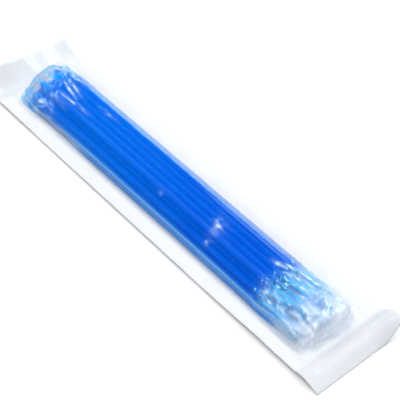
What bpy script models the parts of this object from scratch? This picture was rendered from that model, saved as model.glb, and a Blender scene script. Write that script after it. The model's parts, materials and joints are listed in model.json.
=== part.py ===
# Peel pack of disposable inoculating loops.
#
# A flat white web carries a bundle of one-piece moulded loops.  A clear formed film
# covers them and is heat-sealed to the web all round.  The pack lies flat, +Z up,
# with its length along X.  The ring ends of the loops point to +X.
# The origin is the middle of the web's underside.

import math

import bmesh
import bpy
from mathutils import Matrix

MM = 0.001

# ---- driving dimensions, millimetres ---------------------------------------------
PACK_L = 250.0            # web and film, along X
PACK_W = 52.0             # web and film, along Y
PACK_CORNER_R = 1.0       # cut corners of the film
WEB_T = 0.30              # white web
FILM_T = 0.35             # clear film
SEAL_GAP = 0.30           # clearance kept between web and film

LOOP_L = 200.0            # one loop, end to end
HEX_AF = 3.20             # handle, across flats
HANDLE_END = 166.0        # length of the full hexagon, from the blunt end
NECK_START = 175.0        # where the taper has become the thin neck
NECK_AC = 1.10            # neck, across corners
SPLIT = 0.30              # clearance between a handle's solid and its tip's solid
RING_R = 2.40             # ring, centreline radius
RING_WIRE = 0.42          # ring, radius of its section
NOSE = 1.4                # rounding at the blunt end

PITCH = 3.60              # handle to handle in a layer
ROWS = (8, 7, 5)          # loops in each layer, bottom to top
BUNDLE_X = -1.0           # middle of the loops along X
REST_GAP = 0.35           # bottom handles to web
STAGGER = 3.6             # lengthwise scatter of the loops, each way
ROLL = 30.0               # rings lie tilted by this much, degrees
ROLL_SCATTER = 3.0        # scatter of that tilt, each way

CAVITY_X = -1.0           # middle of the formed cavity along X
# formed cavity, inner face: half length, half width, corner radius, height over the flange
CAVITY = (
    (109.6, 17.0, 7.0, 0.0),
    (109.1, 16.2, 6.6, 2.4),
    (108.6, 15.6, 6.2, 4.8),
    (107.9, 14.3, 5.6, 7.6),
    (106.9, 12.4, 4.8, 9.8),
    (105.2, 10.2, 3.6, 10.8),
)
CORNER_STEPS = 5

COLL_NAME = "inoculating_loop_pack"


# ---- scene -----------------------------------------------------------------------
for old in list(bpy.data.objects):
    bpy.data.objects.remove(old, do_unlink=True)

parts = bpy.data.collections.new(COLL_NAME)
bpy.context.scene.collection.children.link(parts)
tools = bpy.data.collections.new(COLL_NAME + "_cutters")
bpy.context.scene.collection.children.link(tools)


def material(name, rgb, rough, metallic=0.0, alpha=1.0):
    m = bpy.data.materials.new(name)
    m.use_nodes = True
    p = m.node_tree.nodes["Principled BSDF"]
    p.inputs["Base Color"].default_value = (*rgb, 1.0)
    p.inputs["Roughness"].default_value = rough
    p.inputs["Metallic"].default_value = metallic
    p.inputs["Alpha"].default_value = alpha
    m.diffuse_color = (*rgb, alpha)
    return m


def move_to(obj, coll):
    for c in list(obj.users_collection):
        c.objects.unlink(obj)
    coll.objects.link(obj)
    return obj


def evaluated_mesh(obj, name):
    deps = bpy.context.evaluated_depsgraph_get()
    deps.update()
    mesh = bpy.data.meshes.new_from_object(obj.evaluated_get(deps), depsgraph=deps)
    mesh.name = name
    return mesh


def scatter(i, k):
    """A repeatable value in -1..1 for loop i; k picks an independent series."""
    return math.sin(12.9898 * (i + 1) + 78.233 * (k + 1)) * math.cos(4.1414 * (i + 1) * (k + 2))


# ---- white web -------------------------------------------------------------------
bpy.ops.mesh.primitive_cube_add(size=1.0, location=(0, 0, 0))
web = move_to(bpy.context.object, parts)
web.name = "backing_web"
web.data.name = "backing_web"
web.data.transform(Matrix.Diagonal((PACK_L * MM, PACK_W * MM, WEB_T * MM, 1.0)))
web.location = (0, 0, WEB_T / 2 * MM)
web.data.materials.append(material("web_white", (0.86, 0.87, 0.89), 0.75))


# ---- clear formed film -----------------------------------------------------------
def outline(cx, half_l, half_w, radius, z):
    """Points round a rounded rectangle, anticlockwise seen from above."""
    pts = []
    for q, (sx, sy) in enumerate(((1, 1), (-1, 1), (-1, -1), (1, -1))):
        for k in range(CORNER_STEPS + 1):
            a = math.radians(90.0 * q + 90.0 * k / CORNER_STEPS)
            pts.append((
                (cx + sx * (half_l - radius) + radius * math.cos(a)) * MM,
                (sy * (half_w - radius) + radius * math.sin(a)) * MM,
                z * MM,
            ))
    return pts


film_under = WEB_T + SEAL_GAP
bm = bmesh.new()
loops_of_points = [outline(0.0, PACK_L / 2, PACK_W / 2, PACK_CORNER_R, film_under)]
for half_l, half_w, radius, rise in CAVITY:
    loops_of_points.append(outline(CAVITY_X, half_l, half_w, radius, film_under + rise))
rings = [[bm.verts.new(p) for p in pts] for pts in loops_of_points]
for lower, upper in zip(rings, rings[1:]):
    n = len(lower)
    for i in range(n):
        j = (i + 1) % n
        bm.faces.new((lower[i], lower[j], upper[j], upper[i]))
bm.faces.new(rings[-1])
film_mesh = bpy.data.meshes.new("top_film")
bm.to_mesh(film_mesh)
bm.free()

# the film turns about the pack's +X edge when it is peeled back
PEEL_AXIS = (PACK_L / 2 * MM, 0.0, (WEB_T + SEAL_GAP / 2) * MM)
film_mesh.transform(Matrix.Translation((-PEEL_AXIS[0], -PEEL_AXIS[1], -PEEL_AXIS[2])))
film = bpy.data.objects.new("top_film", film_mesh)
parts.objects.link(film)
film.location = PEEL_AXIS
wall = film.modifiers.new("film thickness", "SOLIDIFY")
wall.thickness = FILM_T * MM
wall.offset = 1.0
wall.use_even_offset = True
film_mesh.materials.append(material("film_clear", (0.93, 0.95, 0.98), 0.12, alpha=0.3))


# ---- one moulded loop ------------------------------------------------------------
# The real loop is one moulding.  It is built as two solids that meet at the root of the
# neck, the handle and the tip, so that the open eye of the ring stays open in both.
# Both are turned in six steps, so their corners come out as a hexagon; local Z runs along
# the loop from the blunt end at the bottom to the ring at the top.
hex_r = HEX_AF / math.sqrt(3.0)
neck_r = NECK_AC / 2
ring_along = LOOP_L - RING_R - RING_WIRE


def lay_down(mesh):
    """Lay a piece along X with the ring flat in the XY plane: (x, y, z) -> (z, x, y)."""
    mesh.transform(Matrix(((0, 0, 1, 0), (1, 0, 0, 0), (0, 1, 0, 0), (0, 0, 0, 1))))
    return mesh


def turned(name, profile):
    """A solid of six sides from (radius, distance along the loop), the ring's end first."""
    mesh = bpy.data.meshes.new(name + "_profile")
    mesh.from_pydata([(r * MM, 0.0, (d - LOOP_L / 2) * MM) for r, d in profile],
                     [(i, i + 1) for i in range(len(profile) - 1)], [])
    obj = bpy.data.objects.new(name + "_profile", mesh)
    tools.objects.link(obj)
    turn = obj.modifiers.new("hexagon", "SCREW")
    turn.axis = "Z"
    turn.angle = math.tau
    turn.steps = 6
    turn.render_steps = 6
    turn.use_merge_vertices = True
    turn.merge_threshold = 0.00001
    solid = evaluated_mesh(obj, name)
    bpy.data.objects.remove(obj, do_unlink=True)
    return solid


handle_profile = [(0.0, NECK_START), (neck_r * 1.15, NECK_START)]
for k in (0.75, 0.5, 0.25):
    # smooth run-out from the neck to the full hexagon
    s = 3 * k * k - 2 * k ** 3
    handle_profile.append((hex_r + (neck_r * 1.15 - hex_r) * s, HANDLE_END + (NECK_START - HANDLE_END) * k))
handle_profile += [
    (hex_r, HANDLE_END),
    (hex_r, NOSE),
    (hex_r * 0.88, NOSE * 0.34),
    (hex_r * 0.60, 0.0),
    (0.0, 0.0),
]
handle_mesh = lay_down(turned("loop_handle", handle_profile))

neck = bpy.data.objects.new("loop_neck", turned("loop_neck", [
    (0.0, ring_along - RING_R),
    (neck_r * 0.86, ring_along - RING_R),
    (neck_r, NECK_START + 9.0),
    (neck_r * 1.12, NECK_START + SPLIT),
    (0.0, NECK_START + SPLIT),
]))
tools.objects.link(neck)
bpy.ops.mesh.primitive_torus_add(
    major_segments=20, minor_segments=6, major_radius=RING_R * MM, minor_radius=RING_WIRE * MM)
eye = move_to(bpy.context.object, tools)
eye.name = "loop_eye"
# stand the ring up so that it holds the loop's own axis
eye.data.transform(Matrix.Rotation(math.radians(90.0), 4, "X"))
eye.data.transform(Matrix.Translation((0.0, 0.0, (ring_along - LOOP_L / 2) * MM)))
join = neck.modifiers.new("ring", "BOOLEAN")
join.operation = "UNION"
join.solver = "EXACT"
join.object = eye
tip_mesh = lay_down(evaluated_mesh(neck, "loop_tip"))
for o in (neck, eye):
    bpy.data.objects.remove(o, do_unlink=True)

loop_blue = material("loop_blue", (0.0, 0.13, 0.75), 0.35)
for mesh in (handle_mesh, tip_mesh):
    mesh.materials.clear()
    mesh.materials.append(loop_blue)
    for poly in mesh.polygons:
        poly.use_smooth = True
    mesh.set_sharp_from_angle(angle=math.radians(35.0))

# ---- the bundle ------------------------------------------------------------------
layer_rise = PITCH * math.sqrt(3.0) / 2
first_z = WEB_T + REST_GAP + hex_r
number = 0
for layer, count in enumerate(ROWS):
    # every second layer sits in the valleys of the one below
    offset = 0.0 if count % 2 == (ROWS[0] - layer) % 2 else PITCH / 2
    for k in range(count):
        y = (k - (count - 1) / 2) * PITCH + offset
        z = first_z + layer * layer_rise
        place = ((BUNDLE_X + STAGGER * scatter(number, 0)) * MM, y * MM, z * MM)
        roll = math.radians(ROLL + ROLL_SCATTER * scatter(number, 3))
        for piece, mesh in (("handle", handle_mesh), ("tip", tip_mesh)):
            obj = bpy.data.objects.new("loop_%02d_%s" % (number + 1, piece), mesh)
            parts.objects.link(obj)
            obj.location = place
            obj.rotation_euler = (roll, 0.0, 0.0)
        number += 1

bpy.context.view_layer.update()
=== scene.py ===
# Visual model of the inoculating-loop peel pack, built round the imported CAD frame.
import bpy
import bmesh
import json
import math
import numpy as np
from mathutils import Matrix, Vector


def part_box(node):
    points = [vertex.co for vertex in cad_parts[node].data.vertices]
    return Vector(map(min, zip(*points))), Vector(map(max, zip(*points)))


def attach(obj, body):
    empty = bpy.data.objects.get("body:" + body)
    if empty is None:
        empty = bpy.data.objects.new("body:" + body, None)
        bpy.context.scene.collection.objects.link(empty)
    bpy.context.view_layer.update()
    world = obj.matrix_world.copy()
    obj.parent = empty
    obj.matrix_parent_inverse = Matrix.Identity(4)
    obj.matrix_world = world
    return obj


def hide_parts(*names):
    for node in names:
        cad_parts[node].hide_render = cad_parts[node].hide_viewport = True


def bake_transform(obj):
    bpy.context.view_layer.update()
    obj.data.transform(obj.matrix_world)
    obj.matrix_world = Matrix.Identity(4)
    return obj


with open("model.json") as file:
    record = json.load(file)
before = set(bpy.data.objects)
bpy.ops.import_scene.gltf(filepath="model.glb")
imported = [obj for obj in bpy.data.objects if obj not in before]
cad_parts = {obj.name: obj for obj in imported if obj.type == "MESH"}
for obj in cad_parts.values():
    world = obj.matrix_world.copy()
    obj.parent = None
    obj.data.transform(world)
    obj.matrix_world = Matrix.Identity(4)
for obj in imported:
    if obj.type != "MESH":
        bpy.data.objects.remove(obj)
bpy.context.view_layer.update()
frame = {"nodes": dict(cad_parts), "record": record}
MM = 0.001
rng = np.random.default_rng(20)

WEB_LO, WEB_HI = (np.array(c, float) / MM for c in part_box("backing_web"))
FILM_LO, FILM_HI = (np.array(c, float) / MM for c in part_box("top_film"))
HALF_L, HALF_W = WEB_HI[0], WEB_HI[1]

# ==================================================================== helpers


def smooth01(t):
    t = np.clip(t, 0.0, 1.0)
    return t * t * (3 - 2 * t)


def waves(x, y, seed, n, wavelength, stretch=(1.0, 1.0)):
    """A smooth repeatable random field of about unit height; wavelength in mm."""
    r = np.random.default_rng(seed)
    out = np.zeros(np.broadcast(x, y).shape)
    for _ in range(n):
        a = r.uniform(0, 2 * np.pi)
        k = 2 * np.pi / (wavelength * r.uniform(0.7, 1.5))
        out += np.sin(k * (np.cos(a) * x / stretch[0] + np.sin(a) * y / stretch[1]) + r.uniform(0, 2 * np.pi))
    return out * math.sqrt(2.0 / n)


def sheet_mesh(name, top, bottom):
    """A closed thin sheet from two (nx, ny, 3) arrays of points in millimetres; top faces up."""
    nx, ny = top.shape[:2]
    i = np.arange(nx * ny).reshape(nx, ny)
    q = np.stack([i[:-1, :-1], i[1:, :-1], i[1:, 1:], i[:-1, 1:]], -1).reshape(-1, 4)
    rim = np.concatenate([i[:-1, 0], i[-1, :-1], i[:0:-1, -1], i[0, :0:-1]])
    nxt = np.roll(rim, -1)
    n = nx * ny
    side = np.stack([rim, rim + n, nxt + n, nxt], -1)
    q = np.concatenate([q, q[:, ::-1] + n, side])
    m = bpy.data.meshes.new(name)
    m.vertices.add(2 * n)
    m.vertices.foreach_set("co", (np.concatenate([top.reshape(-1, 3), bottom.reshape(-1, 3)]) * MM).astype(np.float32).ravel())
    m.loops.add(q.size)
    m.loops.foreach_set("vertex_index", q.ravel().astype(np.int32))
    m.polygons.add(len(q))
    m.polygons.foreach_set("loop_start", (np.arange(len(q)) * 4).astype(np.int32))
    m.update(calc_edges=True)
    m.validate()
    m.shade_smooth()
    o = bpy.data.objects.new(name, m)
    bpy.context.scene.collection.objects.link(o)
    return o


def set_attribute(o, name, values):
    a = o.data.attributes.new(name, "FLOAT", "POINT")
    a.data.foreach_set("value", np.asarray(values, np.float32).ravel())


def set_colour(o, name, rgb):
    a = o.data.attributes.new(name, "FLOAT_COLOR", "POINT")
    rgb = np.asarray(rgb, np.float32).reshape(-1, 3)
    a.data.foreach_set("color", np.concatenate([rgb, np.ones((len(rgb), 1), np.float32)], 1).ravel())


def apply_modifiers(o):
    dg = bpy.context.evaluated_depsgraph_get()
    dg.update()
    m = bpy.data.meshes.new_from_object(o.evaluated_get(dg), depsgraph=dg)
    o.modifiers.clear()
    old = o.data
    o.data = m
    bpy.data.meshes.remove(old)


# ==================================================================== materials


def new_material(name):
    m = bpy.data.materials.new(name)
    m.use_nodes = True
    nt = m.node_tree
    nt.nodes.clear()
    out = nt.nodes.new("ShaderNodeOutputMaterial")
    return m, nt, out


def node(nt, kind, **sockets):
    n = nt.nodes.new(kind)
    for k, v in sockets.items():
        n.inputs[k].default_value = v
    return n


def ramp(nt, stops):
    n = nt.nodes.new("ShaderNodeValToRGB")
    e = n.color_ramp.elements
    while len(e) > 2:
        e.remove(e[-1])
    for k, (pos, col) in enumerate(stops):
        el = e[k] if k < 2 else e.new(pos)
        el.position = pos
        el.color = (*col, 1.0) if len(col) == 3 else col
    return n


def blue_plastic():
    m, nt, out = new_material("blue_moulded_plastic")
    L = nt.links.new
    tc = nt.nodes.new("ShaderNodeTexCoord")
    # colour drifts a little along each moulding and between mouldings
    mp = nt.nodes.new("ShaderNodeMapping")
    mp.inputs["Scale"].default_value = (0.35, 3.0, 3.0)
    L(tc.outputs["Object"], mp.inputs["Vector"])
    n1 = node(nt, "ShaderNodeTexNoise", Scale=160.0, Detail=3.0, Roughness=0.5)
    L(mp.outputs["Vector"], n1.inputs["Vector"])
    r1 = ramp(nt, [(0.3, (0.0, 0.135, 0.76)), (0.72, (0.0, 0.18, 0.82))])
    L(n1.outputs["Fac"], r1.inputs["Fac"])
    # the thin neck and the ring pass more light, so they read paler
    at = nt.nodes.new("ShaderNodeAttribute")
    at.attribute_name = "thin"
    pale = nt.nodes.new("ShaderNodeMixRGB")
    pale.inputs["Color2"].default_value = (0.07, 0.44, 0.97, 1)
    L(at.outputs["Fac"], pale.inputs["Fac"])
    L(r1.outputs["Color"], pale.inputs["Color1"])
    # faint flow lines of the moulding and a satin surface
    mp2 = nt.nodes.new("ShaderNodeMapping")
    mp2.inputs["Scale"].default_value = (0.06, 1.0, 1.0)
    L(tc.outputs["Object"], mp2.inputs["Vector"])
    n2 = node(nt, "ShaderNodeTexNoise", Scale=2600.0, Detail=2.0)
    L(mp2.outputs["Vector"], n2.inputs["Vector"])
    bump = node(nt, "ShaderNodeBump", Strength=0.10, Distance=0.00005)
    L(n2.outputs["Fac"], bump.inputs["Height"])
    rr = ramp(nt, [(0.3, (0.30,) * 3), (0.7, (0.42,) * 3)])
    L(n2.outputs["Fac"], rr.inputs["Fac"])
    p = node(nt, "ShaderNodeBsdfPrincipled", IOR=1.45)
    p.inputs["Specular IOR Level"].default_value = 0.28
    p.inputs["Specular Tint"].default_value = (0.12, 0.75, 1.0, 1)
    p.inputs["Subsurface Weight"].default_value = 1.0
    p.inputs["Subsurface Radius"].default_value = (0.3, 0.8, 2.2)
    p.inputs["Subsurface Scale"].default_value = 0.0016
    L(pale.outputs["Color"], p.inputs["Base Color"])
    L(rr.outputs["Color"], p.inputs["Roughness"])
    L(bump.outputs["Normal"], p.inputs["Normal"])
    L(p.outputs["BSDF"], out.inputs["Surface"])
    m.diffuse_color = (0.0, 0.13, 0.75, 1)
    return m


def white_web():
    m, nt, out = new_material("white_web")
    L = nt.links.new
    tc = nt.nodes.new("ShaderNodeTexCoord")
    # short fibres, and the fine dimple of the sealing roller
    n1 = node(nt, "ShaderNodeTexNoise", Scale=900.0, Detail=5.0, Roughness=0.65)
    L(tc.outputs["Object"], n1.inputs["Vector"])
    n2 = node(nt, "ShaderNodeTexNoise", Scale=60.0, Detail=3.0)
    L(tc.outputs["Object"], n2.inputs["Vector"])
    r = ramp(nt, [(0.3, (0.685, 0.70, 0.735)), (0.7, (0.725, 0.737, 0.765))])
    mix = nt.nodes.new("ShaderNodeMath")
    mix.operation = "MULTIPLY_ADD"
    mix.inputs[1].default_value = 0.5
    half = nt.nodes.new("ShaderNodeMath")
    half.operation = "MULTIPLY"
    half.inputs[1].default_value = 0.5
    L(n2.outputs["Fac"], half.inputs[0])
    L(n1.outputs["Fac"], mix.inputs[0])
    L(half.outputs["Value"], mix.inputs[2])
    L(mix.outputs["Value"], r.inputs["Fac"])
    bump = node(nt, "ShaderNodeBump", Strength=0.25, Distance=0.00004)
    L(n1.outputs["Fac"], bump.inputs["Height"])
    p = node(nt, "ShaderNodeBsdfPrincipled", Roughness=0.62)
    p.inputs["Specular IOR Level"].default_value = 0.3
    # the underside is painted greyer than the top: painted shade, so the gap under the lifted flange edges reads
    # darker
    at = nt.nodes.new("ShaderNodeAttribute")
    at.attribute_name = "under"
    side = nt.nodes.new("ShaderNodeMixRGB")
    side.blend_type = "MULTIPLY"
    side.inputs["Color2"].default_value = (0.45, 0.46, 0.48, 1)
    L(at.outputs["Fac"], side.inputs["Fac"])
    L(r.outputs["Color"], side.inputs["Color1"])
    L(side.outputs["Color"], p.inputs["Base Color"])
    L(bump.outputs["Normal"], p.inputs["Normal"])
    L(p.outputs["BSDF"], out.inputs["Surface"])
    m.diffuse_color = (0.9, 0.9, 0.92, 1)
    return m


def clear_film():
    m, nt, out = new_material("clear_film")
    L = nt.links.new
    tc = nt.nodes.new("ShaderNodeTexCoord")
    # fine drawn texture of the film, far below the creases that the mesh carries
    n1 = node(nt, "ShaderNodeTexNoise", Scale=420.0, Detail=3.0, Roughness=0.55)
    L(tc.outputs["Object"], n1.inputs["Vector"])
    bump = node(nt, "ShaderNodeBump", Strength=0.12, Distance=0.00008)
    L(n1.outputs["Fac"], bump.inputs["Height"])
    # reflectance of a thin sheet, the same from both sides: a few percent face on, rising at grazing angles
    lw = nt.nodes.new("ShaderNodeLayerWeight")
    L(bump.outputs["Normal"], lw.inputs["Normal"])
    p5 = nt.nodes.new("ShaderNodeMath")
    p5.operation = "POWER"
    p5.inputs[1].default_value = 4.0
    L(lw.outputs["Facing"], p5.inputs[0])
    fres = nt.nodes.new("ShaderNodeMath")
    fres.operation = "MULTIPLY_ADD"
    fres.inputs[1].default_value = 0.35
    fres.inputs[2].default_value = 0.07
    L(p5.outputs["Value"], fres.inputs[0])
    clear = nt.nodes.new("ShaderNodeBsdfTransparent")
    clear.inputs["Color"].default_value = (0.998, 0.999, 1.0, 1)
    gloss = node(nt, "ShaderNodeBsdfGlossy", Roughness=0.09)
    gloss.inputs["Color"].default_value = (0.50, 0.93, 1.0, 1)
    L(bump.outputs["Normal"], gloss.inputs["Normal"])
    # the film softens what lies behind it
    blur = nt.nodes.new("ShaderNodeBsdfTranslucent")
    blur.inputs["Color"].default_value = (0.97, 0.98, 1.0, 1)
    through = nt.nodes.new("ShaderNodeMixShader")
    haze = nt.nodes.new("ShaderNodeAttribute")
    haze.attribute_name = "haze"
    L(haze.outputs["Fac"], through.inputs["Fac"])
    L(clear.outputs["BSDF"], through.inputs[1])
    L(blur.outputs["BSDF"], through.inputs[2])
    shiny = nt.nodes.new("ShaderNodeMixShader")
    skin = nt.nodes.new("ShaderNodeAttribute")
    skin.attribute_name = "skin"
    faced = nt.nodes.new("ShaderNodeMath")
    faced.operation = "MULTIPLY"
    L(fres.outputs["Value"], faced.inputs[0])
    L(skin.outputs["Fac"], faced.inputs[1])
    L(faced.outputs["Value"], shiny.inputs["Fac"])
    L(through.outputs["Shader"], shiny.inputs[1])
    L(gloss.outputs["BSDF"], shiny.inputs[2])
    # where the film is sealed, creased or unstretched it is slightly milky; this diffuse layer also carries painted
    # highlights, painted blue light from the loops and painted shade, coloured by the per-vertex veil
    at = nt.nodes.new("ShaderNodeAttribute")
    at.attribute_name = "milk_and_painted_light"
    milk_and_paint_bsdf = nt.nodes.new("ShaderNodeBsdfDiffuse")
    veil_and_painted_light = nt.nodes.new("ShaderNodeAttribute")
    veil_and_painted_light.attribute_name = "veil_and_painted_light"
    L(veil_and_painted_light.outputs["Color"], milk_and_paint_bsdf.inputs["Color"])
    L(bump.outputs["Normal"], milk_and_paint_bsdf.inputs["Normal"])
    mix = nt.nodes.new("ShaderNodeMixShader")
    L(at.outputs["Fac"], mix.inputs["Fac"])
    L(shiny.outputs["Shader"], mix.inputs[1])
    L(milk_and_paint_bsdf.outputs["BSDF"], mix.inputs[2])
    L(mix.outputs["Shader"], out.inputs["Surface"])
    m.diffuse_color = (0.9, 0.95, 1.0, 0.3)
    return m


BLUE, WHITE, CLEAR = blue_plastic(), white_web(), clear_film()

# ==================================================================== tab and edge shape shared by web and film


def lift(x, y):
    """How far the sealed sheet stands off the table, in mm, at (x, y) of the pack."""
    z = np.zeros(np.broadcast(x, y).shape)
    # far (handle-end) tab: rolls up, most at the -Y corner
    t = np.clip((-110.5 - x) / 14.5, 0, 1)
    side = smooth01((18.0 - y) / 44.0)
    z += t ** 1.5 * (6.0 + 5.5 * side)
    z += smooth01(t * 1.4) * 0.3 * np.sin(2 * np.pi * (y + 4.0) / 13.0 + 0.8 * np.sin(y / 6.0))
    z += smooth01(t * 2.0) * (1 - t) * 1.6 * np.cos(2 * np.pi * (y - 3) / 38.0)
    # near (ring-end) tab: a soft swell that turns down to its end edge, and a curled corner at +Y
    t = np.clip((x - 109.5) / 15.5, 0, 1)
    z += np.sin(np.pi * np.clip(t * 0.97, 0, 1)) ** 1.3 * (2.9 + 0.6 * np.sin(y / 9.0 + 0.7))
    z += 8.6 * smooth01((x - 105.0) / 22.0) * smooth01((y - 9.0) / 19.0) ** 1.3
    # the flanges spring off the table beside the contents, most at the ring end of the -Y side
    body = smooth01((x + 118) / 12) * smooth01((121 - x) / 12)
    z += body * smooth01((-y - 16.0) / 5.0) * (0.95 + 0.2 * np.sin(x / 31.0 + 1.0) + 1.35 * smooth01((x - 45) / 45) + 0.5 * smooth01((-70 - x) / 30))
    z += body * smooth01((y - 16.5) / 6.0) * (0.8 + 0.3 * np.sin(x / 23.0))
    flange = smooth01((np.abs(y) - 17.0) / 3.0)
    z += flange * body * 0.07 * waves(x, y, 5, 10, 14.0)
    return z


# ==================================================================== the loops


def loop_facts(k):
    """Where CAD put loop k: blunt end, ring end, axis (y, z), tilt of the ring about X; mm and radians."""
    h_lo, h_hi = (np.array(c, float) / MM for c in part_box("loop_%02d_handle" % k))
    t_lo, t_hi = (np.array(c, float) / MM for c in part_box("loop_%02d_tip" % k))
    ob = frame["nodes"]["loop_%02d_tip" % k]
    co = np.array([v.co for v in ob.data.vertices], float) / MM
    ring = co[co[:, 0] > t_hi[0] - 5.6][:, 1:]
    ring = ring - ring.mean(axis=0)
    w, v = np.linalg.eigh(ring.T @ ring)
    d = v[:, -1]
    return dict(x0=h_lo[0], x1=t_hi[0], y=(h_lo[1] + h_hi[1]) / 2, z=(h_lo[2] + h_hi[2]) / 2,
                roll=math.atan2(d[1], d[0]) % math.pi)


LOOPS = [loop_facts(k) for k in range(1, 21)]
LOOP_LEN = LOOPS[0]["x1"] - LOOPS[0]["x0"]
RING_R, RING_WIRE = 2.40, 0.42
HEX = 3.34 / 2
HANDLE_END, NECK_START = 166.0, 175.0


def neck_radius(d):
    """Radius of the round neck at distance d from the blunt end."""
    t = (d - NECK_START) / (LOOP_LEN - 5.6 - NECK_START)
    r = 0.63 - 0.11 * smooth01(t)
    return r + 0.22 * smooth01((d - (LOOP_LEN - 7.4)) / 1.6)  # flares into the ring


def section(d, a):
    """Polar radius of the moulding at distance d from the blunt end, for angles a from a corner."""
    s = np.mod(a + np.pi / 6, np.pi / 3) - np.pi / 6
    flat = HEX / np.cos(np.mod(a, np.pi / 3) - np.pi / 6)
    rounded = (flat ** -14.0 + (HEX * 1.115) ** -14.0) ** (-1 / 14.0)
    if d <= HANDLE_END:
        r = rounded
        if d < 1.6:  # blunt end, rounded over
            r = rounded * (1 - 0.52 * (1 - math.sqrt(max(0.0, 1 - ((1.6 - d) / 1.6) ** 2))))
        # a shallow waist where the mouldings are gripped, before the taper
        r = r * (1 - 0.03 * math.exp(-(((d - 158.0) / 5.0) ** 2)))
        return r
    if d < NECK_START:
        t = smooth01((d - HANDLE_END) / (NECK_START - HANDLE_END)) ** 1.7
        return rounded * (1 - t) + neck_radius(NECK_START) * t
    return np.full_like(a, neck_radius(d))


def base_loop():
    """One fine loop along X: blunt end at 0, ring in the XY plane, in mm. Returns vertices and polygons."""
    n = 24
    a = np.arange(n) * 2 * np.pi / n
    ds = np.concatenate([
        [0.0, 0.06, 0.2, 0.45, 0.8, 1.2, 1.6, 2.2],
        np.linspace(6, 150, 25), np.linspace(152, HANDLE_END, 8),
        np.linspace(HANDLE_END + 0.75, NECK_START, 12),
        np.linspace(NECK_START + 1.2, LOOP_LEN - 7.6, 12),
        np.linspace(LOOP_LEN - 7.2, LOOP_LEN - 5.15, 6)])
    bm = bmesh.new()
    rings = []
    for d in ds:
        r = section(float(d), a)
        if d < 1e-6:
            r = r * 0.86
        rings.append([bm.verts.new((d, q * math.cos(b), q * math.sin(b))) for q, b in zip(r, a)])
    for p, q in zip(rings, rings[1:]):
        for i in range(n):
            j = (i + 1) % n
            bm.faces.new((p[i], p[j], q[j], q[i]))
    bm.faces.new(rings[0][::-1])
    bm.faces.new(rings[-1])
    bmesh.ops.recalc_face_normals(bm, faces=bm.faces[:])
    m = bpy.data.meshes.new("shaft")
    bm.to_mesh(m)
    bm.free()
    shaft = bpy.data.objects.new("shaft", m)
    bpy.context.scene.collection.objects.link(shaft)
    bm = bmesh.new()
    nu, nv = 48, 14
    verts = []
    for i in range(nu):
        u = 2 * math.pi * i / nu
        # the ring is a little thicker where the neck runs in, and slightly flattened
        w = RING_WIRE * (1 + 0.16 * math.exp(-((math.pi - abs(u - math.pi) - 0) / 0.0001) ** 2))
        thick = 1 + 0.25 * math.exp(-((u - math.pi) / 0.45) ** 2)
        row = []
        for j in range(nv):
            v = 2 * math.pi * j / nv
            rr = RING_R + RING_WIRE * thick * math.cos(v)
            row.append(bm.verts.new((LOOP_LEN - RING_R - RING_WIRE + rr * math.cos(u), rr * math.sin(u), RING_WIRE * 0.96 * thick * math.sin(v))))
        verts.append(row)
    for i in range(nu):
        for j in range(nv):
            i2, j2 = (i + 1) % nu, (j + 1) % nv
            bm.faces.new((verts[i][j], verts[i2][j], verts[i2][j2], verts[i][j2]))
    bmesh.ops.recalc_face_normals(bm, faces=bm.faces[:])
    m = bpy.data.meshes.new("eye")
    bm.to_mesh(m)
    bm.free()
    eye = bpy.data.objects.new("eye", m)
    bpy.context.scene.collection.objects.link(eye)
    mod = shaft.modifiers.new("join", "BOOLEAN")
    mod.operation, mod.solver, mod.object = "UNION", "EXACT", eye
    apply_modifiers(shaft)
    co = np.array([v.co for v in shaft.data.vertices], float)
    polys = [tuple(p.vertices) for p in shaft.data.polygons]
    for o in (shaft, eye):
        bpy.data.objects.remove(o, do_unlink=True)
    return co, polys


BASE_CO, BASE_POLYS = base_loop()
THIN = smooth01((BASE_CO[:, 0] - HANDLE_END) / (NECK_START - HANDLE_END))


def place_loop(k):
    f = LOOPS[k - 1]
    r = np.random.default_rng(700 + k)
    p = BASE_CO.copy()
    d = p[:, 0]
    # each moulding has its own slight bow, and its neck its own set; both stay inside the gaps of the bundle
    bow_a, bow_b = r.uniform(0, 2 * np.pi, 2)
    t = np.clip(d / HANDLE_END, 0, 1)
    bow = 0.07 * np.sin(np.pi * t)
    s = np.clip((d - NECK_START) / (LOOP_LEN - NECK_START), 0, 1)
    sway = r.uniform(0.06, 0.16) * s ** 1.6
    twist = np.radians(r.uniform(-4, 4)) * s
    y, z = p[:, 1], p[:, 2]
    ang = f["roll"] + twist
    c, sn = np.cos(ang), np.sin(ang)
    Y = y * c - z * sn + bow * math.cos(bow_a) + sway * math.cos(bow_b)
    Z = y * sn + z * c + bow * math.sin(bow_a) + sway * math.sin(bow_b)
    P = np.stack([d + f["x0"], Y + f["y"], Z + f["z"]], -1)
    m = bpy.data.meshes.new("loop_%02d_moulding" % k)
    m.from_pydata((P * MM).tolist(), [], BASE_POLYS)
    m.update()
    m.shade_smooth()
    m.set_sharp_from_angle(angle=math.radians(42))
    o = bpy.data.objects.new("loop_%02d_moulding" % k, m)
    bpy.context.scene.collection.objects.link(o)
    set_attribute(o, "thin", THIN)
    m.materials.append(BLUE)
    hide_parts("loop_%02d_handle" % k, "loop_%02d_tip" % k)
    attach(o, "loop_%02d" % k)
    return P


LOOP_POINTS = [place_loop(k) for k in range(1, 21)]
PLAY = {j["child"]: j["range_m"] for j in frame["record"]["behaviour"]["joints"] if j["type"] == "slide"}

# ==================================================================== the film

SEAL_Z = 0.38             # film over the web's underside where it is sealed
POCKET = dict(A=109.7, B=17.0, R=7.5, cx=-1.0)
PROFILE_D = np.array([-1.0, 0, 0.30, 0.7, 1.3, 2.1, 3.2, 4.8, 6.8, 9.0, 14.0])
PROFILE_H = np.array([0, 0, 1.5, 3.3, 5.3, 7.3, 9.1, 10.3, 10.9, 11.05, 11.1])


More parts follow.
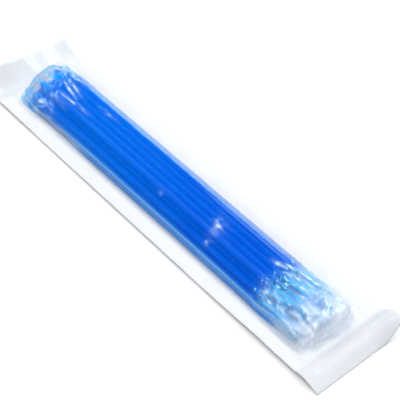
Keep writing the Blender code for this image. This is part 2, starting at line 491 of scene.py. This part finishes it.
def pocket_depth(x, y):
    """Distance inside the pocket's outline, in mm, negative on the flange."""
    A, B, R, cx = POCKET["A"], POCKET["B"], POCKET["R"], POCKET["cx"]
    qx, qy = np.abs(x - cx) - (A - R), np.abs(y) - (B - R)
    return -(np.hypot(np.maximum(qx, 0), np.maximum(qy, 0)) + np.minimum(np.maximum(qx, qy), 0) - R)


def formed(x, y):
    return np.interp(pocket_depth(x, y), PROFILE_D, PROFILE_H)


def stations(half, fn, step):
    t = np.linspace(-half, half, 20001)
    h = fn(t)
    s = np.concatenate([[0], np.cumsum(np.hypot(np.diff(t), np.diff(h)))])
    n = int(round(s[-1] / step))
    return np.interp(np.linspace(0, s[-1], n + 1), s, t)


def contents_support(xs, phi):
    """Support distance of the loops, swept by their free play, at each x for each direction phi in the YZ plane."""
    S = np.full((len(xs), len(phi)), -99.0)
    cy, cz = np.cos(phi), np.sin(phi)
    for k, P in enumerate(LOOP_POINTS, 1):
        lo, hi = (v / MM for v in PLAY["loop_%02d" % k])
        order = np.argsort(P[:, 0])
        d = P[order]
        edges = np.searchsorted(d[:, 0], xs)
        proj = d[:, 1:2] * cy + d[:, 2:3] * cz
        for i, x in enumerate(xs):
            a = np.searchsorted(d[:, 0], x - hi - 3.2)
            b = np.searchsorted(d[:, 0], x - lo + 3.2)
            near = (d[:, 0] > x - hi - 0.8) & (d[:, 0] < x - lo + 0.8)
            if near.any():
                S[i] = np.maximum(S[i], proj[near].max(axis=0))
            elif P[:, 0].min() < x - 0.01 and P[:, 0].max() > x and b > a:
                S[i] = np.maximum(S[i], proj[a:b].max(axis=0))
    return S


def relax_film(steps):
    """Lets the formed film settle on the loops: inextensible grid, pushed in from outside, stopped by the contents."""
    Y = stations(HALF_W, lambda t: formed(0 * t, t), 0.62)
    X = stations(HALF_L, lambda t: formed(t, 0 * t), 0.70)
    gx, gy = np.meshgrid(X, Y, indexing="ij")
    h = formed(gx, gy)
    rest = np.stack([gx, gy, h + SEAL_Z], -1)
    depth = pocket_depth(gx, gy)
    free = depth > 0.05
    w = free.astype(float)
    # room to crumple: more film than the contents need over the necks and round both ends
    extra = 1.0 + 0.006 + 0.030 * smooth01((gx - 70) / 10) + 0.030 * smooth01((-86 - gx) / 10)
    extra = np.where(free, extra, 1.0)

    phi = np.radians(np.arange(-20, 201, 8.0))
    S = contents_support(X, phi) + 0.16
    # the shoulders that the film was formed with hold their shape outside the loops
    for side, reach, height in ((-1, 13.1, 2.6), (1, 12.9, 4.6)):
        keep = smooth01((104.0 - np.abs(X + 1)) / 12)[:, None]
        at = side * reach * (0.62 + 0.38 * keep) * np.cos(phi) + height * keep * np.sin(phi) + 0.3 + 2.0 * keep
        S = np.maximum(S, np.where(keep > 0.02, at, -99.0))
    ny_, nz_ = np.cos(phi), np.sin(phi)

    P = rest.copy()
    bumpy = waves(gx, gy, 11, 40, 5.0) * 0.10 + waves(gx, gy, 12, 40, 2.6) * 0.05
    ends = smooth01((gx - 70) / 8) + smooth01((-84 - gx) / 8)
    P[..., 2] += w * bumpy * (0.15 + ends) * smooth01(depth / 3)
    P[..., 1] += w * waves(gx, gy, 13, 30, 4.0) * 0.06 * ends
    P[..., 0] += w * waves(gx, gy, 14, 30, 4.0) * 0.06 * ends
    V = np.zeros_like(P)

    pairs = []
    for (di, dj), stiff, kind in (((1, 0), 1.0, "s"), ((0, 1), 1.0, "s"), ((1, 1), 0.6, "s"), ((1, -1), 0.6, "s"), ((2, 0), 0.12, "b"), ((0, 2), 0.12, "b")):
        nx, ny = P.shape[:2]
        for start in ((0, 1) if kind == "s" else (0, 1, 2, 3)):
            step = 2 if kind == "s" else 4
            if di:
                ia = np.arange(start, nx - di, step)
                ja0, ja1 = (0, ny - dj) if dj >= 0 else (-dj, ny)
                A = (ia[:, None], np.arange(ja0, ja1)[None, :])
            else:
                ja = np.arange(start, ny - dj, step)
                A = (np.arange(nx)[:, None], ja[None, :])
            B = (A[0] + di, A[1] + dj)
            L0 = np.linalg.norm(rest[B] - rest[A], axis=-1)
            L0 = L0 * 0.5 * (extra[A] + extra[B])
            wa, wb = w[A], w[B]
            ws = wa + wb
            pairs.append((A, B, L0, wa / np.maximum(ws, 1e-9), wb / np.maximum(ws, 1e-9), ws > 0, stiff, kind))

    def project(P):
        for A, B, L0, fa, fb, live, stiff, kind in pairs:
            D = P[B] - P[A]
            L = np.sqrt((D * D).sum(-1)) + 1e-9
            c = (L - L0) / L
            if kind == "b":
                c = np.minimum(c, 0)
            c = (c * stiff * live)[..., None]
            P[A] += fa[..., None] * c * D
            P[B] -= fb[..., None] * c * D

    def collide(P):
        x, y, z = P[..., 0], P[..., 1], P[..., 2]
        i = np.clip(np.searchsorted(X, x), 1, len(X) - 1)
        t = np.clip((x - X[i - 1]) / (X[i] - X[i - 1]), 0, 1)[..., None]
        s = S[i - 1] * (1 - t) + S[i] * t
        dist = y[..., None] * ny_ + z[..., None] * nz_ - s
        k = np.argmax(dist, axis=-1)
        d = np.take_along_axis(dist, k[..., None], -1)[..., 0]
        hit = (d < 0) & (s[..., 0] > -50) & (w > 0)
        P[..., 1] -= np.where(hit, d * ny_[k], 0)
        P[..., 2] -= np.where(hit, d * nz_[k], 0)
        low = (P[..., 2] < SEAL_Z) & (w > 0)
        P[..., 2] = np.where(low, SEAL_Z, P[..., 2])
        return hit

    for n in range(steps):
        du = np.zeros_like(P); dv = np.zeros_like(P)
        du[1:-1] = P[2:] - P[:-2]
        dv[:, 1:-1] = P[:, 2:] - P[:, :-2]
        N = np.cross(du, dv)
        N /= np.linalg.norm(N, axis=-1)[..., None] + 1e-9
        push = 0.020 * min(1.0, (n + 10) / 60) * (1.0 if n < steps * 0.8 else 0.35)
        V -= N * push
        V[..., 2] -= 0.006
        V *= 0.93
        Q = P + V * w[..., None]
        for _ in range(3):
            project(Q)
            hit = collide(Q)
        V = (Q - P)
        V[hit] *= 0.35
        speed = np.linalg.norm(V, axis=-1)
        V *= np.minimum(1.0, 0.35 / np.maximum(speed, 1e-6))[..., None]
        P = Q
    return X, Y, gx, gy, depth, rest, P


# creases of the crumpled film: points along the crest (x, y) in mm, height, half width
CREASES = [
    # ring end, right fan
    ([(64.1, 3.0), (68.3, 4.2), (73.8, 6.2), (80.3, 8.0), (87.9, 8.9), (95.5, 9.2)], 0.75, 0.90),
    ([(70.9, 1.9), (76.4, 3.6), (82.8, 5.6), (89.7, 7.3)], 0.60, 0.80),
    ([(78.8, 1.4), (85.2, 3.1), (91.8, 3.8), (97.3, 2.7), (101.2, 0.1)], 0.60, 0.80),
    ([(82.9, -1.7), (90.5, -1.0), (96.9, -2.0), (101.2, -4.3)], 0.50, 0.90),
    # ring end, left
    ([(69.6, -8.1), (74.4, -9.6), (78.9, -11.6), (82.3, -13.6)], 0.70, 0.90),
    ([(76.2, -7.0), (82.1, -9.5), (86.4, -13.0)], 0.60, 0.80),
    ([(83.4, -12.9), (87.9, -9.9), (94.3, -8.4), (101.2, -9.9)], 0.60, 0.90),
    ([(87.7, -13.4), (94.8, -13.4), (101.4, -10.9)], 0.50, 0.90),
    ([(90.6, -4.1), (96.1, -5.1), (101.5, -8.1)], 0.50, 0.80),
    # nose
    ([(92.8, 7.7), (98.5, 3.5), (102.0, -1.6), (102.2, -7.1), (99.4, -11.0)], 0.60, 0.90),
    # handle end
    ([(-96.4, -4.9), (-85.7, -4.1), (-74.5, -3.2), (-63.4, -2.7)], 0.60, 0.70),
    ([(-96.3, -8.6), (-87.0, -7.4), (-76.5, -8.0)], 0.50, 0.80),
    ([(-93.2, 4.9), (-85.4, 3.3), (-76.7, 2.3)], 0.60, 0.70),
    ([(-93.5, 2.5), (-85.6, 0.6), (-77.3, -0.9)], 0.60, 0.70),
    ([(-98.6, 8.1), (-90.4, 7.3), (-83.3, 9.0)], 0.50, 0.80),
    ([(-104.5, -1.1), (-102.1, 4.3), (-98.1, 9.0)], 0.50, 0.80),
    ([(-100.9, -11.2), (-93.0, -12.9), (-87.2, -11.2), (-80.8, -12.9)], 0.60, 0.80),
    ([(-99.6, -14.7), (-91.3, -15.9), (-82.8, -14.7)], 0.40, 0.80),
    ([(-66.3, 5.1), (-59.8, 4.4), (-52.1, 5.4)], 0.35, 0.70),
    # dent over the middle
    ([(28.8, 1.7), (31.8, -1.6), (34.0, -5.3), (34.0, -7.4)], 0.50, 1.90),
    ([(34.3, -10.1), (36.9, -11.7)], 0.35, 1.00),
    ([(-3.8, -7.6), (-0.1, -8.7)], 0.20, 0.80),
]


# small painted highlight patches on the crumpled film: centre (x, y), half lengths, strength
GLINT_PATCHES = [
    (67.5, 3.5, 2.6, 0.9, 0.8), (74.2, -9.9, 2.2, 0.9, 0.75), (77.6, -12.4, 1.6, 0.9, 0.6),
    (86.5, -10.1, 2.4, 1.5, 0.8), (91.5, -8.0, 1.5, 1.0, 0.4), (99.4, 10.1, 3.0, 1.4, 0.7),
    (103.4, 6.2, 1.8, 2.6, 0.8), (102.6, -0.5, 1.5, 2.8, 0.6), (101.8, -8.6, 2.0, 2.2, 0.65),
    (97.4, -11.6, 2.8, 1.1, 0.55), (92.0, 11.2, 3.0, 1.0, 0.5),
    (33.4, -3.2, 1.5, 3.1, 0.6), (35.2, -10.4, 1.3, 0.6, 0.5),
    (-85.3, -11.2, 1.3, 1.1, 0.75), (-84.8, 2.9, 1.8, 0.8, 0.45), (-93.0, 8.8, 2.4, 0.9, 0.55),
    (105.8, 4.5, 1.0, 2.6, 0.55), (105.4, -3.5, 0.9, 2.0, 0.45), (104.6, -10.0, 0.9, 1.6, 0.45),
]


def painted_glints(x, y):
    """Painted highlight, 0 to 1, along the sharpest creases and in the patches."""
    w = np.zeros(x.shape)
    for line, height, half in CREASES:
        w = np.maximum(w, min(1.0, 1.25 * height) * crest(x, y, line, 0.55 * half))
    for cx, cy, rx, ry, amount in GLINT_PATCHES:
        w = np.maximum(w, amount * np.exp(-((x - cx) / rx) ** 2 - ((y - cy) / ry) ** 2))
    return np.clip(w * (0.72 + 0.38 * waves(x, y, 61, 24, 3.2, (1.8, 1.0))), 0, 1)


def refine(P):
    """Doubles a grid along both sides with a smooth (Catmull-Rom) fit through its points."""
    for axis in (0, 1):
        P = np.moveaxis(P, axis, 0)
        ext = np.concatenate([2 * P[:1] - P[1:2], P, 2 * P[-1:] - P[-2:-1]])
        mid = (-ext[:-3] + 9 * ext[1:-2] + 9 * ext[2:-1] - ext[3:]) / 16
        out = np.empty((2 * len(P) - 1,) + P.shape[1:])
        out[0::2] = P
        out[1::2] = mid
        P = np.moveaxis(out, 0, axis)
    return P


def grid_normals(P):
    N = np.cross(np.gradient(P, axis=0), np.gradient(P, axis=1))
    return N / (np.linalg.norm(N, axis=-1)[..., None] + 1e-9)


def crest(x, y, line, half):
    """Sharp-topped ridge of unit height along a polyline, dying out at both its ends."""
    pts = np.array(line, float)
    seg = np.diff(pts, axis=0)
    length = np.hypot(*seg.T)
    total, run = length.sum(), 0.0
    best = np.full(x.shape, 1e9)
    along = np.zeros(x.shape)
    side = np.zeros(x.shape)
    for a, d, l in zip(pts, seg, length):
        t = np.clip(((x - a[0]) * d[0] + (y - a[1]) * d[1]) / (l * l), 0, 1)
        ex, ey = x - a[0] - t * d[0], y - a[1] - t * d[1]
        q = np.hypot(ex, ey)
        near = q < best
        best = np.where(near, q, best)
        along = np.where(near, (run + t * l) / total, along)
        side = np.where(near, np.sign(d[0] * ey - d[1] * ex), side)
        run += l
    w = 1.7 * half * np.where(side > 0, 1.35, 0.75)
    h = np.exp(-(np.sqrt(best ** 2 + (0.22 * half) ** 2) / w) ** 1.25)
    return h * np.clip(np.sin(np.pi * np.clip(along, 0.02, 0.98)), 0, 1) ** 0.7


def crumple_height(x, y):
    near = smooth01((x - 63) / 9)
    far = smooth01((-86 - x) / 9)
    r1 = (1 - np.abs(waves(x, y, 31, 14, 11.0, (2.2, 1.0))) * 0.9).clip(0, 1) ** 2.5
    r2 = (1 - np.abs(waves(x, y, 32, 14, 7.0, (1.3, 1.0))) * 0.9).clip(0, 1) ** 2.5
    r3 = (1 - np.abs(waves(x, y, 33, 12, 26.0, (4.0, 1.0))) * 0.9).clip(0, 1) ** 4
    h = near * (0.42 * r1 + 0.20 * r2) + far * (0.36 * r1 + 0.46 * r2) + 0.035 * r3
    r = np.random.default_rng(77)
    short = []
    for x0, x1, y0, y1, n in ((72, 103, -14, 14, 26), (-104, -84, -14, 14, 20)):
        for _ in range(n):
            cx, cy = r.uniform(x0, x1), r.uniform(y0, y1)
            a, l = r.normal(0, 0.7), r.uniform(2.5, 6.0)
            dx, dy = l * math.cos(a), l * math.sin(a)
            short.append((((cx - dx, cy - dy), (cx + 0.2 * dy, cy - 0.2 * dx), (cx + dx, cy + dy)), r.uniform(0.25, 0.5), r.uniform(0.5, 0.9)))
    for line, height, half in CREASES + short:
        h = h + 1.4 * height * crest(x, y, line, half)
    return h


X, Y, GX, GY, DEPTH, REST, FILM = relax_film(220)

# the film is drawn smooth over both end walls: no folds are left standing in them
ends = (smooth01((np.abs(FILM[..., 0] + 1.0) - 100.0) / 4) * (DEPTH > 0))[..., None]
for _ in range(7):
    mean = FILM.copy()
    mean[1:-1, 1:-1] = 0.25 * (FILM[:-2, 1:-1] + FILM[2:, 1:-1] + FILM[1:-1, :-2] + FILM[1:-1, 2:])
    FILM = FILM + 0.6 * ends * (mean - FILM)
# and it stands clear of the loops that slide up to them
high = smooth01((FILM[..., 2] - 2.5) / 3.5)
FILM[..., 0] += 1.1 * np.sign(FILM[..., 0]) * ends[..., 0] * high
FILM[..., 2] += 0.4 * smooth01((np.abs(FILM[..., 0] + 1.0) - 98.0) / 5) * high

# finer grid, then the creases, which stand outward only and so never reach the loops
FILM = refine(FILM)
GXY = refine(np.stack([GX, GY], -1))
GX, GY = GXY[..., 0], GXY[..., 1]
DEPTH = pocket_depth(GX, GY)
inside = smooth01((DEPTH - 0.2) / 1.6)
FX, FY = FILM[..., 0].copy(), FILM[..., 1].copy()
# the forming edge leaves a slight raised ridge along the -Y flank and a softer one along the +Y side of the roof, each
# with a painted highlight line along it
left_bead_and_highlight = (GY < 0) * np.exp(-((DEPTH - 2.0) / 0.24) ** 2) * smooth01((FX + 82) / 14) * smooth01((99 - FX) / 6)
right_bead_and_highlight = (GY > 0) * np.exp(-((DEPTH - 9.7) / 0.55) ** 2) * smooth01((FX - 2) / 26) * smooth01((74 - FX) / 8)
height = crumple_height(FX, FY) * inside * (1 - 0.65 * smooth01((np.abs(FX + 1) - 100) / 4))
FILM = FILM + grid_normals(FILM) * (height + 0.20 * left_bead_and_highlight + 0.12 * right_bead_and_highlight)[..., None]

# the flange and the tabs take the shape of the web under them
FILM[..., 2] += lift(GX, GY) * smooth01((0.6 - DEPTH) / 1.2)
SKIN = grid_normals(FILM)
film = sheet_mesh("clear_formed_film", FILM + 0.05 * SKIN, FILM - 0.01 * SKIN)


def outer(values):
    """Film attribute that only the outer face carries; the inner face is plain clear."""
    v = np.broadcast_to(values, GX.shape)
    return np.concatenate([v.ravel(), np.zeros(v.size)])


near_end, far_end = smooth01((FX - 71) / 8), smooth01((-90 - FX) / 8)
cloud = 0.5 + 0.5 * np.clip(waves(FX, FY, 41, 24, 5.5, (3.6, 1.0)), -1, 1)
sealed = DEPTH < 0
wall = 1 - smooth01((SKIN[..., 2] - 0.15) / 0.55)          # the drawn walls are thin and clear
end_wall = smooth01((FX - 101) / 3)
flank = (FY < 0) * smooth01((DEPTH - 0.1) / 0.5) * smooth01((3.4 - DEPTH) / 1.2) * smooth01((FX + 70) / 25) * smooth01((90 - FX) / 8)
milk_and_painted_light = (near_end * 0.36 + far_end * 0.33) * (0.35 + 1.1 * cloud) * (1 - 0.6 * wall) * (1 - 0.6 * end_wall)
# a whiter milk over the ring-end wall: painted light that lifts the shade seen through it
milk_and_painted_light = np.maximum(milk_and_painted_light, 0.30 * smooth01((FX - 100) / 3) * smooth01((DEPTH - 0.1) / 0.8))
# a deep blue milk on the -Y flank: painted shade of the bundle's side seen through the wall
milk_and_painted_light = np.maximum(milk_and_painted_light, 0.42 * flank)
# painted highlights on the creases and patches, in white milk
painted_glint_here = painted_glints(FX, FY)
milk_and_painted_light = milk_and_painted_light + (0.85 - milk_and_painted_light) * painted_glint_here
# over the handles the film is painted with their blue, standing in for the light the plastic throws into it
roof = (1 - near_end) * (1 - far_end) * smooth01((DEPTH - 2.2) / 0.7) * (1 - painted_glint_here)
milk_and_painted_light = milk_and_painted_light + 0.30 * roof
# painted highlight lines along the two ridges, in the milk layer
ridge_highlight_line = np.clip(0.36 * left_bead_and_highlight + 0.24 * right_bead_and_highlight, 0, 1)
milk_and_painted_light = milk_and_painted_light + (0.8 - milk_and_painted_light) * ridge_highlight_line
# on the tabs the milk is grey and thickest on the near tab: painted shade
tab = smooth01((np.abs(GX) - 110) / 3)
milk_and_painted_light = np.where(sealed, 0.03 + 0.12 * tab * (GX > 0), milk_and_painted_light)
haze = np.where(sealed, 0.0, 0.42 - 0.22 * near_end - 0.16 * far_end) * (1 - 0.8 * end_wall) * (1 - 0.7 * wall * (GY > 0))
# over the loops the milk layer is painted with their blue, standing in for the light they throw into the film; past
# them it is white
white = np.array([0.95, 0.97, 1.0])
painted_loop_blue = np.array([0.11, 0.52, 1.0])
flank_shade_blue = np.array([0.0, 0.25, 0.84])
to_white = (smooth01((FX - 84) / 18) * 0.86)[..., None]
veil_and_painted_light = painted_loop_blue * (1 - to_white) + white * to_white
# painted blue light from the loops at the handle end, more cyan
veil_and_painted_light = veil_and_painted_light + (np.array([0.0, 0.42, 0.96]) - veil_and_painted_light) * (far_end * (0.55 + 0.45 * cloud))[..., None]
# grey veil on the tabs: painted shade
veil_and_painted_light = np.where(sealed[..., None], white * (1 - 0.3 * (np.abs(GX) > 110))[..., None], veil_and_painted_light)
# painted deep blue shade of the bundle's side on the -Y flank
veil_and_painted_light = veil_and_painted_light * (1 - flank[..., None]) + flank_shade_blue * flank[..., None]
along = smooth01((FX + 60) / 110)[..., None]
painted_handle_blue = np.array([0.0, 0.20, 0.84]) * (1 - along) + np.array([0.0, 0.10, 0.68]) * along
# painted blue of the handles' light on the film over them
veil_and_painted_light = veil_and_painted_light + (painted_handle_blue - veil_and_painted_light) * roof[..., None]
# painted highlight colour along the ridges
veil_and_painted_light = veil_and_painted_light + (np.array([0.42, 0.76, 1.0]) - veil_and_painted_light) * np.clip(1.6 * ridge_highlight_line, 0, 1)[..., None]
# painted highlights turn the veil near white
veil_and_painted_light = veil_and_painted_light + (np.array([0.86, 0.95, 1.0]) - veil_and_painted_light) * painted_glint_here[..., None]
set_attribute(film, "milk_and_painted_light", outer(milk_and_painted_light))
set_attribute(film, "skin", outer(np.where(sealed, 0.25, 1 - 0.8 * smooth01((0.40 - SKIN[..., 2]) / 0.3))))
set_attribute(film, "haze", outer(haze))
set_colour(film, "veil_and_painted_light", np.concatenate([veil_and_painted_light.reshape(-1, 3)] * 2))
film.data.materials.append(CLEAR)
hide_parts("top_film")
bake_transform(film)

# ==================================================================== the web

gx, gy = np.meshgrid(np.linspace(-HALF_L, HALF_L, 251), np.linspace(-HALF_W, HALF_W, 79), indexing="ij")
top = np.stack([gx, gy, 0.27 + lift(gx, gy)], -1)
web = sheet_mesh("white_web_sheet", top, top - np.array([0, 0, 0.24]))
set_attribute(web, "under", np.repeat([0.0, 1.0], gx.size))
web.data.materials.append(WHITE)
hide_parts("backing_web")
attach(web, "backing_web")

# ==================================================================== floor, light, camera

floor_m, nt, out = new_material("pale_floor")
p = node(nt, "ShaderNodeBsdfPrincipled", Roughness=0.9)
p.inputs["Base Color"].default_value = (0.93, 0.925, 0.93, 1)
p.inputs["Specular IOR Level"].default_value = 0.0
nt.links.new(p.outputs["BSDF"], out.inputs["Surface"])
bpy.ops.mesh.primitive_plane_add(size=8.0, location=(0, 0, -0.0001))
floor = bpy.context.object
floor.name = "floor"
floor.data.materials.append(floor_m)

world = bpy.data.worlds.new("studio")
bpy.context.scene.world = world
world.use_nodes = True
world.node_tree.nodes["Background"].inputs["Color"].default_value = (0.97, 0.98, 1.0, 1)
world.node_tree.nodes["Background"].inputs["Strength"].default_value = 0.24
world.cycles_visibility.glossy = False


def softbox(name, direction, dist, size, power, along=(0, 0, 1)):
    """An area light looking at the pack; its first side runs along the given direction."""
    d = Vector(direction).normalized()
    la = bpy.data.lights.new(name, "AREA")
    la.shape = "RECTANGLE"
    la.size, la.size_y = size
    la.energy = power
    o = bpy.data.objects.new(name, la)
    bpy.context.scene.collection.objects.link(o)
    o.location = d * dist
    u = Vector(along)
    u = (u - u.dot(d) * d).normalized()
    v = d.cross(u)
    o.rotation_euler = Matrix((u, v, d)).transposed().to_euler()
    return o


def strip(name, direction, dist, size, power, glossy=True, along=(0, 0, 1)):
    o = softbox(name, direction, dist, size, power, along)
    o.visible_glossy = glossy
    return o


# a broad dim panel overhead and the key light from the +Y side; the smooth roof of the film reflects neither
strip("top_panel", (0.12, 0.16, 0.97), 1.1, (1.3, 0.75), 5.0, along=(0, 1, 0))
strip("key", (0.06, 0.66, 0.75), 1.1, (0.50, 0.36), 5.2, along=(1, 0, 0))
# fill from the camera side, for the faces of the walls
strip("fill", (0.60, -0.40, 0.69), 1.1, (0.40, 0.40), 3.6, glossy=False)
# small bright boxes that only the crumpled film at the ring end (a) and the handle end (c) reflects
strip("soft_a", (-0.24, -0.17, 0.955), 1.1, (0.60, 0.12), 2.5, along=(0, 1, 0))
strip("soft_c", (-0.84, 0.00, 0.54), 1.1, (0.70, 0.15), 3.0, along=(0, 1, 0))
# strips whose reflections run along the shoulders of the film
strip("left_strip", (-0.52, -0.84, 0.17), 1.0, (0.40, 0.10), 1.1, along=(1, 0, 0))
strip("right_strip", (-0.52, 0.84, 0.15), 1.0, (0.40, 0.16), 2.2, along=(1, 0, 0))

AZ, EL, DIST = 49.82, 47.0, 0.6272
TARGET = Vector((0.00724, 0.00886, 0.0))
a, e = math.radians(AZ), math.radians(EL)
back = Vector((math.sin(a) * math.cos(e), -math.cos(a) * math.cos(e), math.sin(e)))
cam_data = bpy.data.cameras.new("camera")
cam = bpy.data.objects.new("camera", cam_data)
bpy.context.scene.collection.objects.link(cam)
cam.location = TARGET + back * DIST
cam.rotation_mode = "QUATERNION"
cam.rotation_quaternion = (-back).to_track_quat("-Z", "Y")
cam_data.sensor_width = 36.0
cam_data.lens = 1309.3 / 400 * 36.0
cam_data.clip_start, cam_data.clip_end = 0.01, 20
bpy.context.scene.camera = cam

scene = bpy.context.scene
scene.view_settings.view_transform = "Standard"
scene.view_settings.look = "None"
scene.view_settings.exposure = 0.0
scene.view_settings.gamma = 1.0
